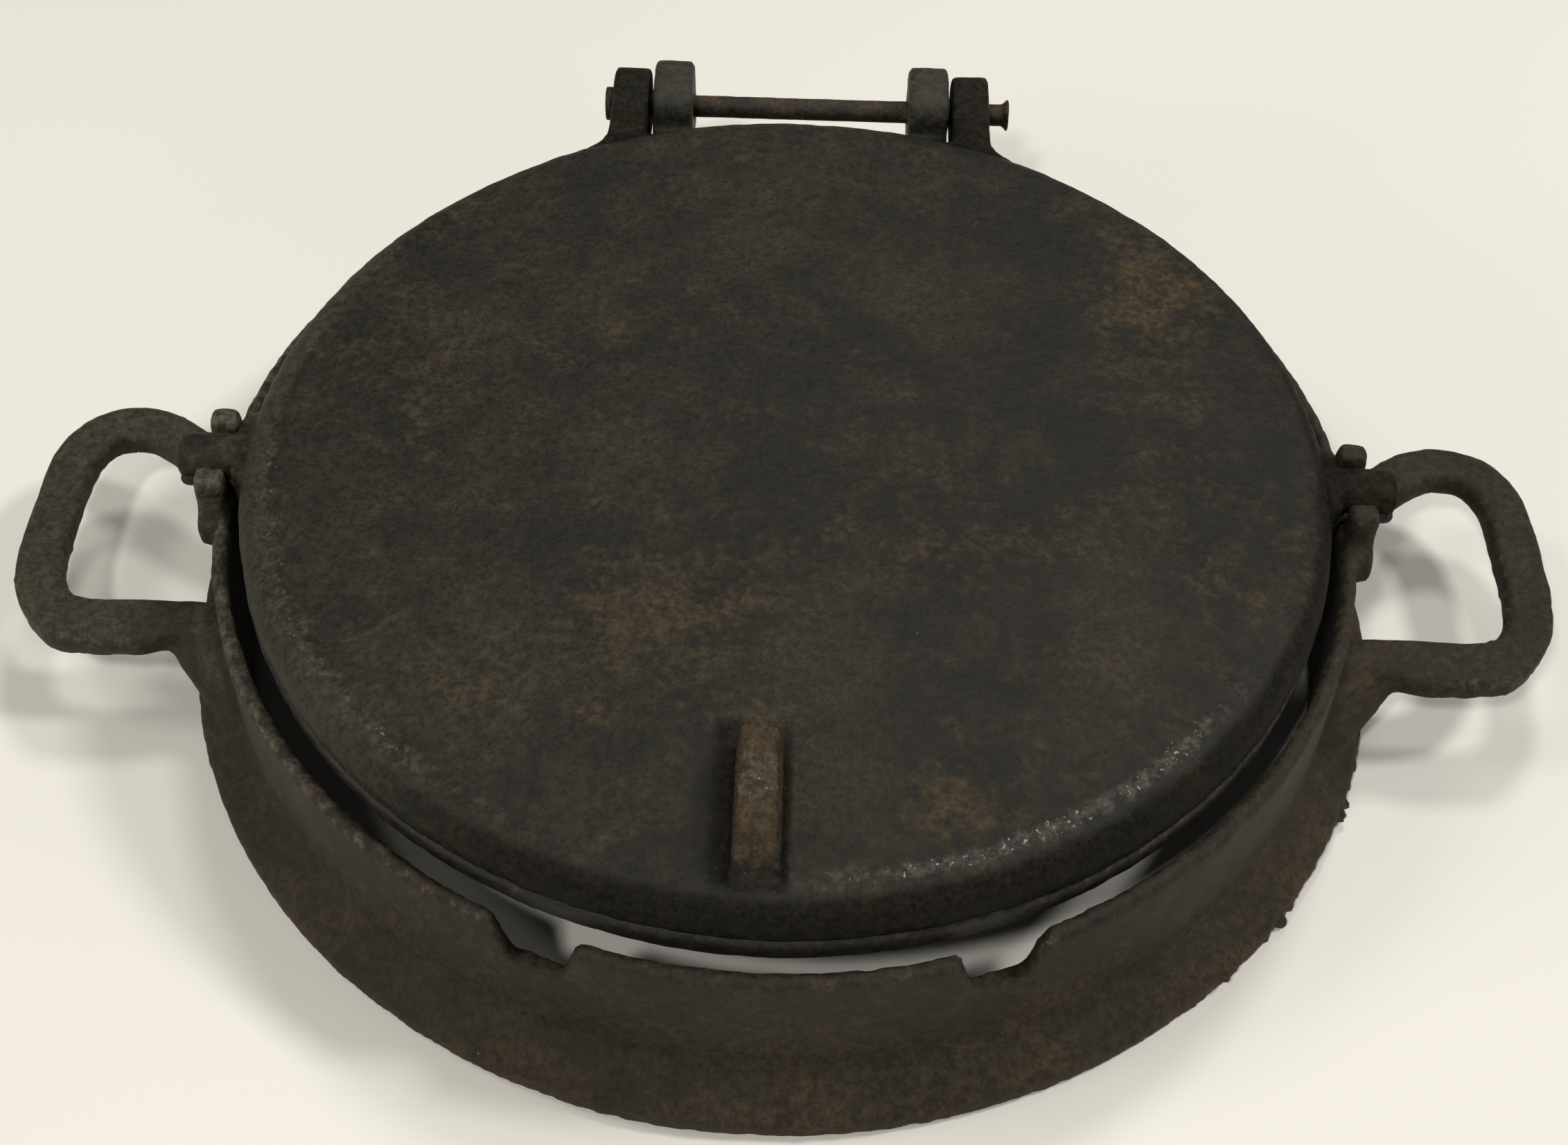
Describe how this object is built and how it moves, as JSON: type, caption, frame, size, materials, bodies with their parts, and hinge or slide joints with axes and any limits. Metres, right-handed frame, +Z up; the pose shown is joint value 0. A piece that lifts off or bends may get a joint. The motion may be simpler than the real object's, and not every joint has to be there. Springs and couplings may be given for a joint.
{
  "type": "stovetop waffle iron",
  "caption": "Round cast-iron stovetop waffle iron: two hinged paddles that turn over together in a low ring stand with loop handles.",
  "frame": {"origin": "on the resting plane under the ring stand, at the middle of the whole iron's plan outline; the ring's own axis is 3.4 mm towards the front", "axes": "+Z up; +X to the right along the journals and the hinge pin, from handle to handle; +Y to the back, where the hinge is"},
  "size_m": [0.298, 0.2392, 0.0575],
  "materials": {
    "ring_iron": "rough, brown with light rust",
    "lower_iron": "seasoned, dull",
    "upper_iron": "seasoned, half dull",
    "pin_iron": "dull, darkened rod"
  },
  "bodies": {
    "base": {"base_ring": "ring_iron"},
    "lower": {"lower_paddle": "lower_iron", "hinge_pin": "pin_iron"},
    "upper": {"upper_paddle": "upper_iron"}
  },
  "joints": [
    {"name": "flip", "type": "hinge", "parent": "base", "child": "lower", "pos_m": [0, -0.0034, 0.039], "axis": [1, 0, 0], "range_deg": [0, 180]},
    {"name": "lid", "type": "hinge", "parent": "lower", "child": "upper", "pos_m": [0, 0.1111, 0.039], "axis": [-1, 0, 0], "range_deg": [0, 110]}
  ]
}
